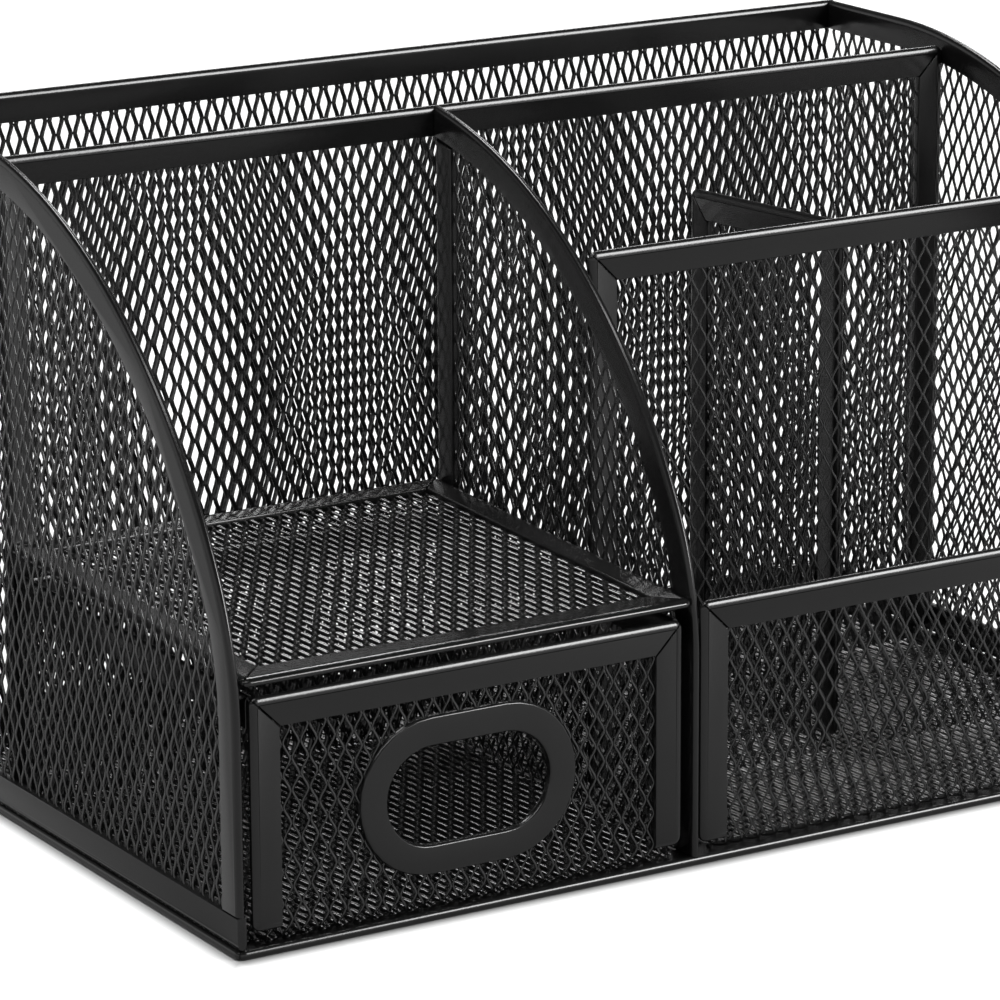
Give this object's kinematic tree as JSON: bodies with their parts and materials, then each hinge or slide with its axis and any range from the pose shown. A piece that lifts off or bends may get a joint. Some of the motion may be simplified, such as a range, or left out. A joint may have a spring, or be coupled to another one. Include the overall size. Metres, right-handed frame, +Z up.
{
  "type": "mesh desk organizer with drawer",
  "caption": "Black metal mesh desk stand with curved sides: a rear slot, pen cups, a low front pocket and a tray over a sliding drawer with a finger ring.",
  "frame": {"origin": "middle of the underside, on the surface that the stand rests on", "axes": "+X along the width to the user's right, +Y to the back, +Z up"},
  "size_m": [0.22, 0.136, 0.132],
  "materials": {
    "mesh_enamel": "semi-gloss black enamel on expanded steel mesh",
    "trim_enamel": "satin black enamel on folded steel trim"
  },
  "bodies": {
    "housing": {"back_bottom_strip": "trim_enamel", "back_mesh": "mesh_enamel", "back_top_rail": "trim_enamel", "base_back_rail": "trim_enamel", "base_front_rail": "trim_enamel", "base_left_rail": "trim_enamel", "base_mesh": "mesh_enamel", "base_right_rail": "trim_enamel", "center_divider_mesh": "mesh_enamel", "center_divider_rear_rail": "trim_enamel", "center_divider_rim": "trim_enamel", "left_bottom_strip": "trim_enamel", "left_side_mesh": "mesh_enamel", "left_side_rim": "trim_enamel", "low_front_left_rail": "trim_enamel", "low_front_mesh": "mesh_enamel", "low_front_right_rail": "trim_enamel", "low_front_top_rail": "trim_enamel", "middle_left_rail": "trim_enamel", "middle_panel_mesh": "mesh_enamel", "middle_right_rail": "trim_enamel", "middle_top_rail": "trim_enamel", "pen_divider_front_rail": "trim_enamel", "pen_divider_mesh": "mesh_enamel", "pen_divider_rear_rail": "trim_enamel", "pen_divider_top_rail": "trim_enamel", "right_bottom_strip": "trim_enamel", "right_side_mesh": "mesh_enamel", "right_side_rim": "trim_enamel", "shelf_front_rail": "trim_enamel", "shelf_left_rail": "trim_enamel", "shelf_mesh": "mesh_enamel", "shelf_rear_rail": "trim_enamel", "shelf_right_rail": "trim_enamel", "tall_panel_left_rail": "trim_enamel", "tall_panel_mesh": "mesh_enamel", "tall_panel_right_rail": "trim_enamel", "tall_panel_top_rail": "trim_enamel"},
    "drawer": {"drawer_back_mesh": "mesh_enamel", "drawer_back_top_rail": "trim_enamel", "drawer_bottom_mesh": "mesh_enamel", "drawer_front_left_rail": "trim_enamel", "drawer_front_mesh": "mesh_enamel", "drawer_front_right_rail": "trim_enamel", "drawer_front_top_rail": "trim_enamel", "drawer_handle_ring": "trim_enamel", "drawer_left_mesh": "mesh_enamel", "drawer_left_top_rail": "trim_enamel", "drawer_right_mesh": "mesh_enamel", "drawer_right_top_rail": "trim_enamel"}
  },
  "joints": [
    {"name": "drawer_slide", "type": "slide", "parent": "housing", "child": "drawer", "axis": [0, -1, 0], "range_m": [0, 0.08]}
  ]
}
